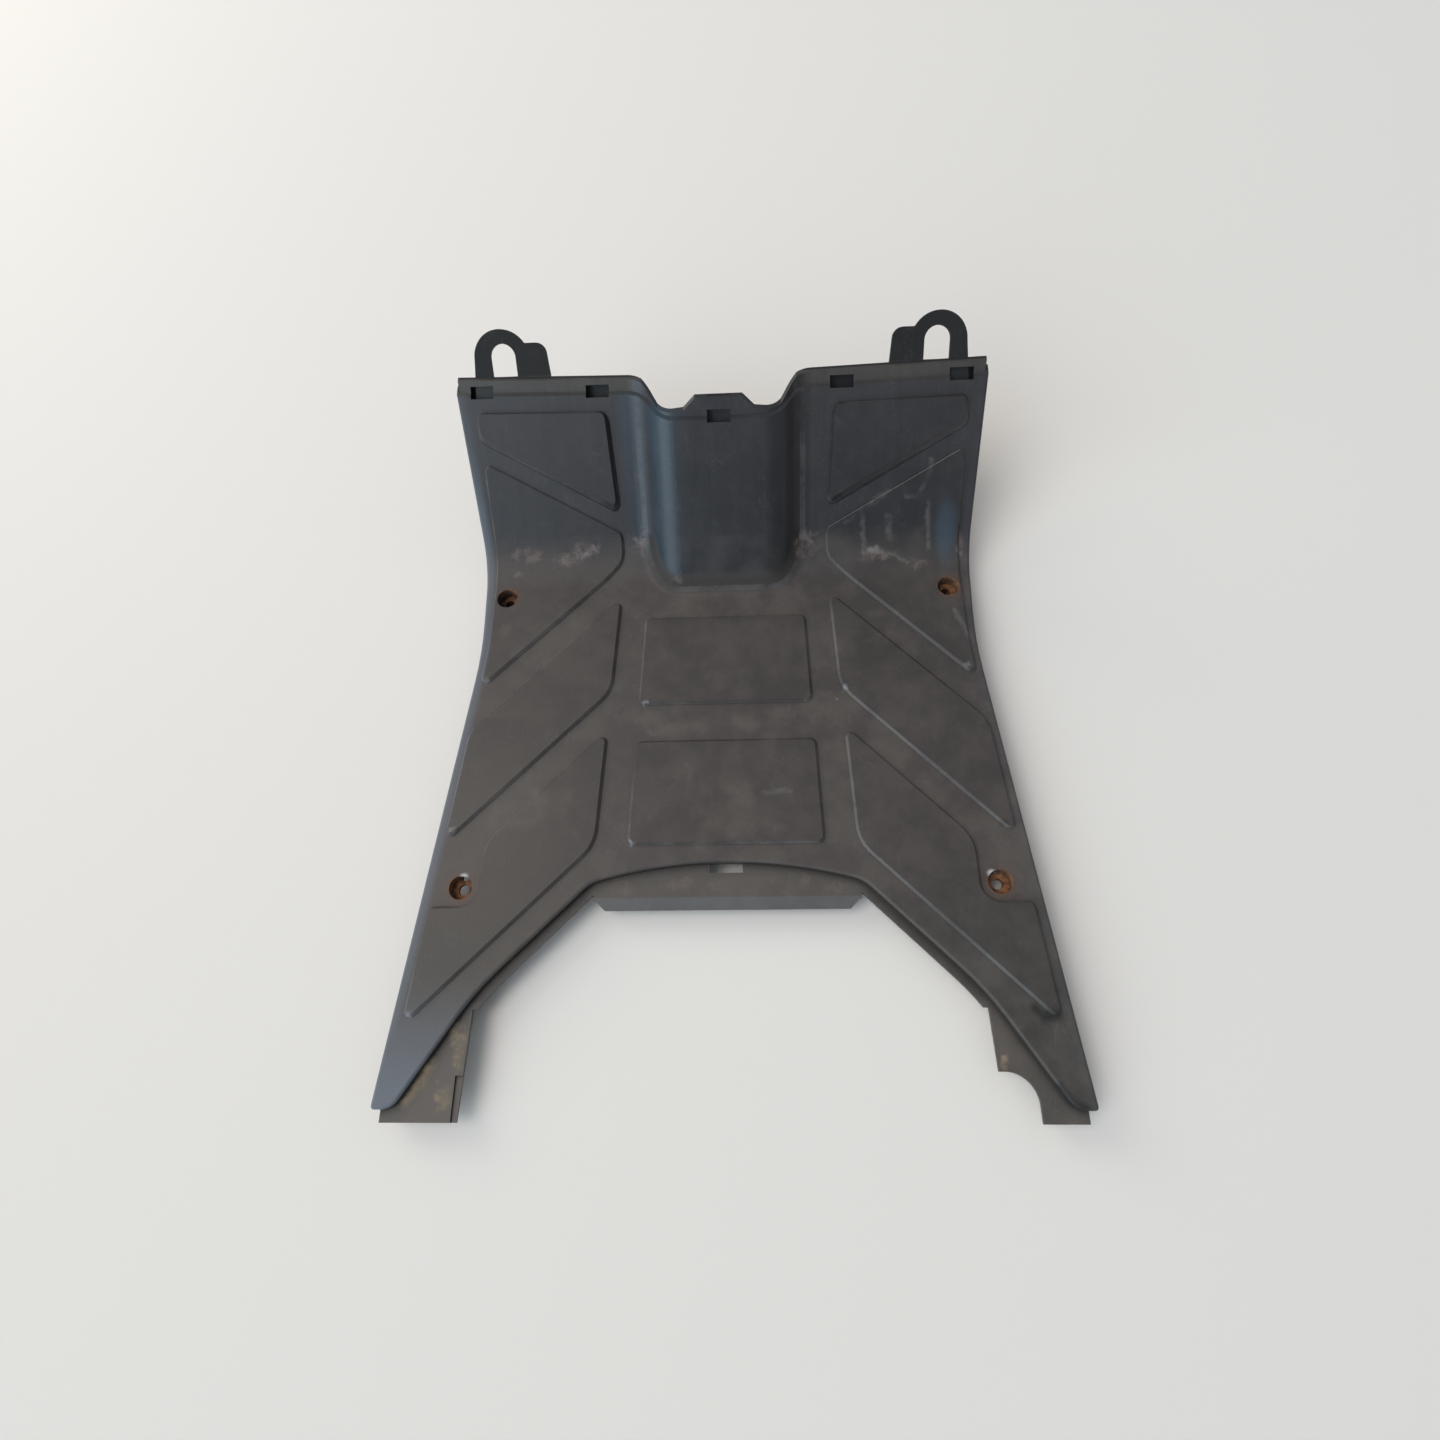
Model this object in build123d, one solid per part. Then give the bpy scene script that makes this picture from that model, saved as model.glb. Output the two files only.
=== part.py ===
from build123d import *
from math import atan2, cos, degrees, radians, sin, tan
import os

# Scooter floorboard, one plastic moulding: X to the rider's right, Y forward, Z up, in millimetres.
# While it is drawn, Y is counted from the rear tips of the legs and Z from the ground.

# Walls
wall = 3.0
flange_wall = 2.6
rib_wall = 2.2
rib_depth = 7.0

# Plan outline, half widths from the centre line
tip_half_width = 206.8
tip_end_width = 12.8
waist_half_width = 175.0
waist_y = 296.0
front_half_width = 181.7
arch_y = 142.0
shoulder_x = 86.0
shoulder_y = 129.8
knee_inset = 54.0
knee_y = 63.9
tip_corner_radius = 2.2
tip_hook_radius = 12.0
knee_radius = 150.0
shoulder_radius = 25.0
waist_radius = 300.0
rim_radius = 2.0

# Side profile: a flat floor that bends up into the toe board
bend_y = 368.0
bend_radius = 50.0
toe_angle = 47.0
toe_length = 119.2
front_dip = 3.1

# Column bulge in the middle of the toe board
ridge_base_half = 55.5
ridge_crest_half = 39.5
ridge_height = 17.0
ridge_crest_radius = 20.0
ridge_foot_radius = 17.0

# Skirts: the rear ones stand on the ground, the side ones hang clear of it
rear_skirt_depth = 20.0
side_skirt_depth = 7.5
rear_skirt_start = 2.0
rear_skirt_overlap = 12.0

# Tread pads and the channels between them
pad_height = 2.0
pad_bevel = 1.7
toe_pad_height = 3.4
toe_pad_bevel = 2.4
pad_tip_radius = 4.0
pad_corner_radius = 5.0
pad_heel_radius = 28.0
centre_pad_half = 57.5
centre_pad_taper = 0.036
centre_pad_setback = 48.0
centre_pad_length = 68.5
centre_pad_gap = 26.5
rear_pad_length = 72.0
side_pad_rear_half = 84.0
side_pad_nose_length = 16.0
side_pad_front_half = 77.5
side_pad_front_margin = 15.0
side_pad_front_slant = 1.5
side_pad_rear_margin = 15.0
rim_rear = 7.5
rim_waist = 4.5
rim_front = 11.5
channel_width = 18.2
channel_angle = -45.5
channel_x = 125.0
front_channel_setback = 67.0
rear_channel_reach = 29.3
toe_channel_reach = 56.4
toe_channel_width = 9.0
toe_channel_angle = 20.9

# Screw cups
front_hole_inset = 15.0
front_hole_setback = 29.0
rear_hole_inset = 37.8
rear_hole_y = 127.4
hole_radius = 3.5
cup_radius = 7.5
cup_depth = 7.0
boss_radius = 10.5
drain_width = 4.0
drain_length = 3.0
cup_land = 11.6

# Tongue behind the rear arch, ledges along the legs and flanges at the leg ends
flange_drop = 5.0
tongue_rear_y = 113.5
tongue_crease_y = 120.8
tongue_tip_drop = 2.5
tongue_half_width = 77.5
tongue_chamfer = 6.0
tongue_root_half = 84.5
ledge_width = 6.0
tongue_slot_width = 21.0
tongue_slot_length = 6.0
leg_flange_inset = 52.8
leg_flange_taper = 2.5
leg_flange_tip_inset = 4.8
leg_flange_rear_y = -7.0
leg_flange_front_y = 55.0
leg_notch_width = 20.0
leg_notch_length = 27.0
leg_notch_radius = 17.5
leg_strip_width = 3.5
leg_strip_length = 25.0
leg_strip_drop = 1.0

# Front lip with its slots, and the two ears
lip_drop = 2.6
lip_rise = 5.5
lip_side_gap = 2.0
lip_overlap = 5.0
lip_end_x = 53.0
lip_valley_x = 42.0
lip_valley_rise = 0.8
lip_crest_x = 24.0
lip_crest_rise = 2.4
tab_half_width = 16.0
tab_rise = 8.1
slot_width = 16.0
slot_length = 8.0
slot_setback = 1.5
slot_depth = 6.5
slot_outer_inset = 17.7
slot_inner_x = 83.7
ear_inset = 33.7
ear_reach = 42.2
ear_ring_radius = 18.8
ear_hole_half = 8.7
ear_hole_shift = 1.0
ear_flare = 3.0
ear_width = 55.3
ear_shoulder_slant = 3.0
ear_shoulder_reach = 33.0
ear_corner_radius = 7.0
ear_wall = 3.2

# Working values
turn = radians(toe_angle)
knee_x = tip_half_width - knee_inset
front_hole_x = waist_half_width - front_hole_inset
front_hole_y = bend_y - front_hole_setback
rear_hole_x = tip_half_width - rear_hole_inset
centre_pad_front_y = bend_y - centre_pad_setback
front_channel_y = bend_y - front_channel_setback
toe_channel_y = bend_y + toe_channel_reach * cos(turn)
channel_slope = tan(radians(channel_angle))
rear_channel_y = rear_hole_y + rear_channel_reach + channel_slope * (channel_x - rear_hole_x)
toe_channel_slope = tan(radians(toe_channel_angle))
channel_rise = channel_width / cos(radians(channel_angle))
toe_channel_rise = toe_channel_width / cos(radians(toe_channel_angle))
nose_room = toe_channel_y - front_channel_y - (channel_rise + toe_channel_rise) / 2 - side_pad_nose_length
side_pad_nose_half = channel_x - nose_room / (toe_channel_slope - channel_slope)
ear_x = front_half_width - ear_inset
floor_z = rear_skirt_depth
up_slope = Vector(0, cos(turn), sin(turn))
toe_normal = Vector(0, -sin(turn), cos(turn))
toe_plane = Plane(origin=(0, bend_y, floor_z), x_dir=(1, 0, 0), z_dir=toe_normal)
bend_reach = bend_radius * tan(turn / 2)
edge_z = floor_z + toe_length * sin(turn)
edge_y = bend_y + toe_length * cos(turn)
side_pad_front_y = edge_y - side_pad_front_margin * cos(turn)
flange_z = floor_z - flange_drop
lip_back = lip_drop + flange_wall
overrun = 80.0
rear_limit = leg_flange_rear_y - overrun
front_limit = toe_length + overrun
side_limit = tip_half_width + overrun
top_limit = edge_z + overrun
form_depth = 45.0
slight_turn = 15.0
blunt_turn = 60.0
tip_turn = 100.0
corner_share = 0.45
bite = 0.3
tiny = 0.02


def outline_x(y):
    """Half width of the plan outline at y, with its waist still sharp."""
    if y < waist_y:
        return tip_half_width + (waist_half_width - tip_half_width) * y / waist_y
    return waist_half_width + (front_half_width - waist_half_width) * (y - waist_y) / (edge_y - waist_y)


def edge_dip(x):
    """How far the front edge at x lies below its corners."""
    return front_dip * (1 - abs(x) / front_half_width)


def edge_along(x):
    """Distance up the toe board from the bend to the front edge at x."""
    return toe_length - edge_dip(x) / sin(turn)


def corner_nearest(face, x, y):
    """The corner of a flat face that lies nearest to x, y."""
    return face.vertices().sort_by_distance((x, y, 0))[0]


def way_out(edge, vertex):
    """Direction in which an edge leaves a corner."""
    at_start = (edge @ 0 - vertex.center()).length < tiny
    return edge % 0 if at_start else (edge % 1) * -1


def pad_corners(face):
    """Corners of a straight-sided face, each with its turn in degrees and the length of its shorter side."""
    corners = []
    for vertex in face.vertices():
        sides = [edge for edge in face.edges() if edge.distance_to(vertex) < tiny]
        turned = 180.0 - way_out(sides[0], vertex).get_angle(way_out(sides[1], vertex))
        corners.append((vertex, turned, min(side.length for side in sides)))
    return corners


def upright(face, low=-form_depth, high=top_limit):
    """A flat plan face made a block between two heights."""
    return extrude(Pos(0, 0, low) * face, amount=high - low, dir=(0, 0, 1))


def mirrored(shape):
    """A shape of the right side together with its twin on the left."""
    return shape + mirror(shape, about=Plane.YZ)


def front_window(right):
    """A block cut to a front view: the right half of its outline, with heights from the front edge."""
    half = [(x, z - edge_dip(x)) for x, z in right]
    outline = Polygon(*half, *[(-x, z) for x, z in reversed(half) if x > 0], align=None)
    return extrude(Plane.XZ * Pos(0, edge_z) * outline, amount=top_limit + edge_y, both=True)


def plan_face():
    """The floorboard's outline seen from above, open ended at the front."""
    front_y = edge_y + overrun
    tip_inner_x = tip_half_width - tip_end_width
    right = [(shoulder_x, shoulder_y), (knee_x, knee_y), (tip_inner_x, 0), (tip_half_width, 0)]
    right += [(waist_half_width, waist_y), (outline_x(front_y), front_y)]
    left = [(-x, y) for x, y in reversed(right)]
    arch = ThreePointArc(left[-1], (0, arch_y), right[0])
    face = make_face([arch, Polyline(*right, *left)])
    for side in (1, -1):
        face = fillet(corner_nearest(face, side * waist_half_width, waist_y), waist_radius)
        face = fillet(corner_nearest(face, side * tip_half_width, 0), tip_corner_radius)
        face = fillet(corner_nearest(face, side * tip_inner_x, 0), tip_hook_radius)
        face = fillet(corner_nearest(face, side * knee_x, knee_y), knee_radius)
        face = fillet(corner_nearest(face, side * shoulder_x, shoulder_y), shoulder_radius)
    return face


def profile(lift):
    """Edges of the floor, bend and toe board seen from the side, raised by lift."""
    centre = Vector(bend_y - bend_reach, floor_z + bend_radius)
    radius = bend_radius - lift
    foot = centre + Vector(0, -radius)
    middle = centre + Vector(sin(turn / 2), -cos(turn / 2)) * radius
    head = centre + Vector(sin(turn), -cos(turn)) * radius
    start = Vector(rear_limit, floor_z + lift)
    end = head + Vector(cos(turn), sin(turn)) * (front_limit - bend_reach)
    return [Line(start, foot), ThreePointArc(foot, middle, head), Line(head, end)]


def sheet(high, low):
    """The layer between two lifts of the side profile, right across the part."""
    upper = profile(high)
    lower = profile(low)
    ends = [Line(upper[-1] @ 1, lower[-1] @ 1), Line(lower[0] @ 0, upper[0] @ 0)]
    return extrude(Plane.YZ * make_face(upper + lower + ends), amount=side_limit, both=True)


def form(drop):
    """Everything below the moulded surface when that surface is lowered by drop, bulge included."""
    base = sheet(-drop, -form_depth)
    flank_run = ridge_base_half - ridge_crest_half
    inset = drop * tan(atan2(ridge_height, flank_run) / 2)
    root = 2 * wall
    root_half = ridge_base_half - inset + root * flank_run / ridge_height
    crest_half = ridge_crest_half - inset
    crest = ridge_height - drop
    foot = -drop - root
    corners = [(-root_half, foot), (root_half, foot), (crest_half, crest), (-crest_half, crest)]
    section_plane = Plane(origin=toe_plane.origin, x_dir=(1, 0, 0), z_dir=-up_slope)
    section = section_plane * Polygon(*corners, align=None)
    ridge = extrude(Pos(up_slope * -form_depth) * section, amount=front_limit + form_depth, dir=up_slope)
    long_edges = ridge.edges().filter_by(Axis((0, 0, 0), up_slope))
    crest_edges = [edge for edge in long_edges if (edge.center() - toe_plane.origin).dot(toe_normal) > 0]
    ridge = fillet(crest_edges, ridge_crest_radius - drop)
    joined = base + ridge
    return fillet(new_edges(base, ridge, combined=joined), ridge_foot_radius + drop)


def lift_of(point):
    """Height of a point above the floor, bend or toe surface, square to that surface."""
    if point.Y < bend_y - bend_reach:
        return point.Z - floor_z
    from_bend = point - toe_plane.origin
    if from_bend.dot(up_slope) > bend_reach:
        return from_bend.dot(toe_normal)
    return bend_radius - Vector(0, from_bend.Y + bend_reach, from_bend.Z - bend_radius).length


def wall_top_edges(solid, lift):
    """Edges where the upright walls of a solid meet its surface at the given lift."""
    found = []
    for face in solid.faces():
        if abs(face.normal_at().Z) > tiny:
            continue
        found += [edge for edge in face.edges() if abs(lift_of(edge @ 0.5) - lift) < tiny]
    return found


def shell_with_skirts(plan):
    """The moulded skin with side skirts all round and deep rear skirts, its rim rounded."""
    below_edge = front_window([(0, 0), (side_limit, 0), (side_limit, -2 * top_limit)])
    skin = (form(0) - form(wall)) & upright(plan) & below_edge
    ring = plan - offset(plan, amount=-wall)
    skirts = upright(ring) & sheet(-wall / 2, -side_skirt_depth) & below_edge
    deep_x = shoulder_x + rear_skirt_start
    deep_width = knee_x + rear_skirt_overlap - deep_x
    deep_zone = Pos(deep_x, 0) * Rectangle(deep_width, arch_y, align=(Align.MIN, Align.MIN))
    deep_skirts = mirrored(upright(ring & deep_zone, low=0, high=floor_z - wall / 2))
    shell = skin + skirts + deep_skirts
    return fillet(wall_top_edges(shell, 0), rim_radius)


def centre_pad_faces():
    """The two tapered rectangles down the middle of the floor."""
    faces = []
    second_y = centre_pad_front_y - centre_pad_length - centre_pad_gap
    for front, length in ((centre_pad_front_y, centre_pad_length), (second_y, rear_pad_length)):
        rear = front - length
        front_half = centre_pad_half + centre_pad_taper * (centre_pad_front_y - front)
        rear_half = centre_pad_half + centre_pad_taper * (centre_pad_front_y - rear)
        corners = [(-rear_half, rear), (rear_half, rear), (front_half, front), (-front_half, front)]
        faces.append(rounded_pad(Polygon(*corners, align=None)))
    return faces


def channel(y, angle, width):
    """A straight channel across the right tread field."""
    return Pos(channel_x, y) * Rot(0, 0, angle) * Rectangle(2 * side_limit, width)


def tread_field():
    """The area of the right side that carries pads, before the channels divide it."""
    nose_rear_y = front_channel_y + channel_slope * (side_pad_nose_half - channel_x)
    nose_front_y = toe_channel_y + toe_channel_slope * (side_pad_nose_half - channel_x)
    inner = [(side_pad_rear_half, 0), (side_pad_rear_half, arch_y), (side_pad_nose_half, nose_rear_y)]
    inner += [(side_pad_nose_half, nose_front_y), (side_pad_front_half, side_pad_front_y)]
    outer = [(outline_x(side_pad_front_y) - rim_front, side_pad_front_y + side_pad_front_slant)]
    outer += [(waist_half_width - rim_waist, waist_y), (tip_half_width - rim_rear, 0)]
    field = Polygon(*inner, *outer, align=None)
    rear_angle = degrees(atan2(knee_y - shoulder_y, knee_x - shoulder_x))
    behind = Rectangle(2 * side_limit, side_limit, align=(Align.CENTER, Align.MAX))
    return field - Pos(shoulder_x, shoulder_y) * Rot(0, 0, rear_angle) * Pos(0, side_pad_rear_margin) * behind


def rounded_pad(face, left_sharp=Vector(0, 0)):
    """A pad outline with its corners rounded: widely where it turns little, tightly at its tips."""
    for corner, turned, side in pad_corners(face):
        if (corner.center() - left_sharp).length < tiny:
            continue
        radius = pad_corner_radius
        if turned < slight_turn:
            radius = waist_radius
        elif turned < blunt_turn:
            radius = pad_heel_radius
        elif turned > tip_turn:
            radius = pad_tip_radius
        room = corner_share * side / tan(radians(turned) / 2)
        face = fillet(corner_nearest(face, corner.X, corner.Y), min(radius, room))
    return face


def leg_pad_face(face):
    """The pad along the leg, cut away round the rear screw cup."""
    land_x = rear_hole_x - cup_land
    land_y = rear_hole_y - cup_land
    land = Pos(land_x, land_y) * Rectangle(side_limit, side_limit, align=(Align.MIN, Align.MIN))
    pad = rounded_pad(face - land, left_sharp=Vector(land_x, land_y))
    return fillet(corner_nearest(pad, land_x, land_y), cup_land - tiny)


def side_pad_faces():
    """The four pads of the right side, from the leg to the top of the toe board."""
    field = tread_field()
    field -= channel(rear_channel_y, channel_angle, channel_width)
    field -= channel(front_channel_y, channel_angle, channel_width)
    field -= channel(toe_channel_y, toe_channel_angle, toe_channel_width)
    leg_pad, *others = [Sketch() + face for face in field.faces().sort_by(Axis.Y)]
    return [leg_pad_face(leg_pad)] + [rounded_pad(face) for face in others]


def raised_pad(face, height=pad_height, bevel=pad_bevel):
    """A pad that stands on the skin, with its top edge bevelled."""
    pad = upright(face) & sheet(height, -wall / 2)
    return chamfer(wall_top_edges(pad, height), bevel)


def bosses():
    """Posts under the four screw cups: the front pair stands on the ground."""
    front = Pos(front_hole_x, front_hole_y) * Circle(boss_radius)
    rear = Pos(rear_hole_x, rear_hole_y) * Circle(boss_radius)
    root = floor_z - wall / 2
    return mirrored(upright(front, 0, root) + upright(rear, floor_z - cup_depth - wall, root))


def cup_cuts():
    """Counterbores, screw holes and the drain notches of the rear cups."""
    cup_z = floor_z - cup_depth
    cuts = []
    for x, y in ((front_hole_x, front_hole_y), (rear_hole_x, rear_hole_y)):
        cuts.append(upright(Pos(x, y) * Circle(cup_radius), low=cup_z, high=edge_z))
        cuts.append(upright(Pos(x, y) * Circle(hole_radius), high=cup_z + wall))
    notch = Pos(rear_hole_x, rear_hole_y + cup_radius) * Rectangle(drain_width, drain_length)
    cuts.append(upright(notch, high=cup_z + drain_length))
    return [mirrored(cut) for cut in cuts]


def ribs(plan):
    """Stiffening ribs below the channels, two rails and their cross members."""
    rail_x = (side_pad_nose_half + side_pad_rear_half) / 2 - channel_width / 2
    rail_end = edge_y - ridge_height
    rail = Pos(rail_x, arch_y) * Rectangle(rib_wall, rail_end - arch_y, align=(Align.CENTER, Align.MIN))
    beyond_rail = Pos(rail_x, 0) * Rectangle(side_limit, front_limit + edge_y, align=(Align.MIN, Align.MIN))
    stays = channel(rear_channel_y, channel_angle, rib_wall)
    stays += channel(front_channel_y, channel_angle, rib_wall)
    stays += channel(toe_channel_y, toe_channel_angle, rib_wall)
    cross_y = centre_pad_front_y - centre_pad_length - centre_pad_gap / 2
    cross = Pos(0, cross_y) * Rectangle(2 * rail_x, rib_wall)
    lines = mirrored(rail + (stays & beyond_rail)) + cross
    inside = offset(plan, amount=-wall / 2)
    return upright(lines & inside, high=edge_z - wall) & sheet(-wall / 2, -wall - rib_depth)


def tongue(inside):
    """The dropped shelf behind the rear arch, creased down along its rear edge, with a slot at its root."""
    nose = tongue_rear_y + tongue_chamfer
    right = [(tongue_half_width, tongue_rear_y), (tongue_half_width + tongue_chamfer, nose)]
    right += [(tongue_root_half, nose), (tongue_root_half, arch_y + wall)]
    outline = Polygon(*right, *[(-x, y) for x, y in reversed(right)], align=None) - inside
    slot_y = arch_y - tongue_slot_length
    slot = Rectangle(tongue_slot_width, tongue_slot_length, align=(Align.CENTER, Align.MIN))
    outline -= Pos(0, slot_y) * slot
    top = [(arch_y + wall, flange_z), (tongue_crease_y, flange_z)]
    top.append((tongue_rear_y, flange_z - tongue_tip_drop))
    under = [(y, z - flange_wall) for y, z in reversed(top)]
    strip = extrude(Plane.YZ * Polygon(*top, *under, align=None), amount=side_limit, both=True)
    return strip & upright(outline)


def leg_ledges(plan, inside):
    """The narrow dropped ledges that run along the legs from the tongue to the leg flanges."""
    length = arch_y - leg_flange_front_y
    width = knee_x + rear_skirt_overlap - tongue_half_width
    zone = Pos(tongue_half_width, leg_flange_front_y - bite) * Rectangle(width, length, align=(Align.MIN, Align.MIN))
    strip = (offset(plan, amount=ledge_width) - inside) & zone
    return mirrored(upright(strip, flange_z - flange_wall, flange_z))


def leg_flanges(inside):
    """Dropped flanges at the leg ends: the right one is notched, the left one has a lower edge strip."""
    front_x = tip_half_width - leg_flange_inset
    rear_x = front_x + leg_flange_taper
    outer_x = tip_half_width - leg_flange_tip_inset
    corners = [(front_x, leg_flange_front_y), (rear_x, leg_flange_rear_y)]
    corners += [(outer_x, leg_flange_rear_y), (outer_x, leg_flange_front_y)]
    plate = Polygon(*corners, align=None) - inside
    notch = Pos(rear_x, leg_flange_rear_y) * Rectangle(2 * leg_notch_width, 2 * leg_notch_length)
    notch_corner = (rear_x + leg_notch_width, leg_flange_rear_y + leg_notch_length)
    notch = fillet(corner_nearest(notch, *notch_corner), leg_notch_radius)
    right = upright(plate - notch, flange_z - flange_wall, flange_z)
    left = mirror(upright(plate, flange_z - flange_wall, flange_z), about=Plane.YZ)
    strip = Pos(rear_x, leg_flange_rear_y) * Rectangle(2 * leg_strip_width, 2 * leg_strip_length)
    left -= mirror(upright(strip, flange_z - leg_strip_drop, flange_z), about=Plane.YZ)
    return right + left


def lip(plan):
    """The recessed lip along the front edge, cut away over the bulge's flanks, with a tab in the middle."""
    right = [(tab_half_width, tab_rise), (lip_crest_x, lip_crest_rise), (lip_valley_x, lip_valley_rise)]
    right += [(lip_end_x, lip_rise), (side_limit, lip_rise), (side_limit, -lip_overlap), (0, -lip_overlap)]
    narrow = offset(plan, amount=-lip_side_gap)
    return (form(lip_drop) - form(lip_back)) & front_window(right) & upright(narrow)


def slot_places():
    """Middles of the five clip slots on the lip, four on the flat toe board and one on the bulge's crest."""
    outer_x = front_half_width - slot_outer_inset
    spots = [(x, edge_along(x), 0) for x in (-outer_x, -slot_inner_x, slot_inner_x, outer_x)]
    spots.append((0, edge_along(0) - ridge_height / tan(turn), ridge_height))
    middle = slot_length / 2 - slot_setback
    return [toe_plane * Pos(x, along + middle, lift - lip_drop) for x, along, lift in spots]


def slot_pockets():
    """Closed pockets behind the clip slots."""
    sides = 2 * flange_wall
    depth = slot_depth + flange_wall - bite
    shape = Box(slot_width + sides, slot_length + sides, depth, align=(Align.CENTER, Align.CENTER, Align.MAX))
    return [place * Pos(0, 0, -bite) * shape for place in slot_places()]


def slot_cuts():
    """Cuts that open the clip slots from above."""
    shape = Box(slot_width, slot_length, slot_depth + overrun, align=(Align.CENTER, Align.CENTER, Align.MIN))
    return [place * Pos(0, 0, -slot_depth) * shape for place in slot_places()]


def ears():
    """Two sloping plates behind the lip, each with a ring round an arched hole and a lower shoulder."""
    edge_u = edge_along(ear_x)
    ring_u = edge_u + ear_reach - ear_ring_radius
    shoulder_u = edge_u + ear_shoulder_reach
    hole_u = edge_u + (lip_rise + lip_back * cos(turn)) / sin(turn)
    root_u = edge_u - lip_overlap / 2
    outer_x = ear_x + ear_ring_radius + ear_flare
    inner_x = outer_x - ear_width
    corner_x = inner_x + ear_shoulder_slant
    corners = [(inner_x, root_u), (outer_x, root_u), (ear_x + ear_ring_radius, ring_u)]
    corners += [(ear_x, ring_u), (ear_x, shoulder_u), (corner_x, shoulder_u)]
    plate = Polygon(*corners, align=None)
    plate = fillet(corner_nearest(plate, corner_x, shoulder_u), ear_corner_radius)
    arch_u = ring_u + ear_hole_shift
    below = Rectangle(2 * ear_hole_half, arch_u - hole_u, align=(Align.CENTER, Align.MAX))
    hole = Pos(ear_x - ear_hole_shift, arch_u) * (Circle(ear_hole_half) + below)
    plate = plate + Pos(ear_x, ring_u) * Circle(ear_ring_radius) - hole
    sloped = toe_plane * Pos(0, 0, bite - lip_back) * plate
    return mirrored(extrude(sloped, amount=ear_wall, dir=-toe_normal))


def floorboard():
    """The whole moulding as one solid."""
    plan = plan_face()
    inside = offset(plan, amount=-wall / 2)
    body = shell_with_skirts(plan) + lip(plan)
    body += slot_pockets()
    body -= slot_cuts()
    *floor_pads, toe_pad = side_pad_faces()
    body += [raised_pad(face) for face in centre_pad_faces()]
    body += [mirrored(raised_pad(face)) for face in floor_pads]
    body += mirrored(raised_pad(toe_pad, toe_pad_height, toe_pad_bevel))
    body += [ribs(plan), bosses(), tongue(inside), leg_ledges(plan, inside), leg_flanges(inside), ears()]
    return body - cup_cuts()


board = floorboard()
box = board.bounding_box()
board = Pos(-box.center().X, -box.center().Y, -box.min.Z) * board
os.makedirs("parts", exist_ok=True)
export_step(board, "parts/floorboard.step")
print("solids", len(board.solids()), "volume", round(board.volume), "size", box.size)
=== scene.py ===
import math

import bpy
from mathutils import Matrix, Vector

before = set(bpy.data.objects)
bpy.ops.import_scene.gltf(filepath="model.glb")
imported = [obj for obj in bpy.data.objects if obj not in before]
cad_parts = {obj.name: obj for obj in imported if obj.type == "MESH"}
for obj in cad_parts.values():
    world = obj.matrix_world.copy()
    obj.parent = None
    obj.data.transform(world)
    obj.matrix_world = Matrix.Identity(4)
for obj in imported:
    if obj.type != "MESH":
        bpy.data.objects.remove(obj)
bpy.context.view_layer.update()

# Camera: where the photograph was taken from, above the rear of the floorboard
CAMERA_PLACE = Vector((0.02251, -0.21393, 0.5269))
CAMERA_RIGHT = Vector((0.99865, -0.00065, -0.05196))
CAMERA_UP = Vector((0.02088, 0.92069, 0.3897))
CAMERA_FORWARD = Vector((-0.04758, 0.39026, -0.91946))
CAMERA_LENS = 20.275
SENSOR_WIDTH = 36.0
NEAREST_SEEN = 0.01

# The pale ground that the part lies on, and the sky
GROUND_SIZE = 8.0
GROUND_PAINT = (0.90, 0.86, 0.82, 1)
GROUND_ROUGHNESS = 0.7
SKY_COLOUR = (0.86, 0.93, 1.0, 1)
SKY_STRENGTH = 0.30

# The board's own lines in millimetres: flat floor, bend and sloping toe board
PER_METRE = (1000.0, 1000.0, 1000.0)
FLOOR_LEVEL = 20.0
BEND_LINE = 129.769
BEND_RADIUS = 50.0
TOE_ANGLE = math.radians(47.0)
TOE_NORMAL = (0.0, -math.sin(TOE_ANGLE), math.cos(TOE_ANGLE))
BEND_REACH = BEND_RADIUS * math.tan(TOE_ANGLE / 2)

# Half width of the board as straight lines along it: at the middle of its length, and change per millimetre
REAR_HALF_WIDTH = (181.207, -0.10743)
FRONT_HALF_WIDTH = (172.476, 0.0437)

# Limits that several parts share: what is measured, where the part begins and where it is full
UPWARD = ("facing", 0.15, 0.85)
BELOW_SKIN = ("lift", -1.2, -2.4)
ON_LIP = ("run", 110.0, 114.0)
LEFTWARD = ("sideways", 60.0, -120.0)
ON_TONGUE = [BELOW_SKIN, UPWARD, ("across", 90.0, 84.0)]

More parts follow.
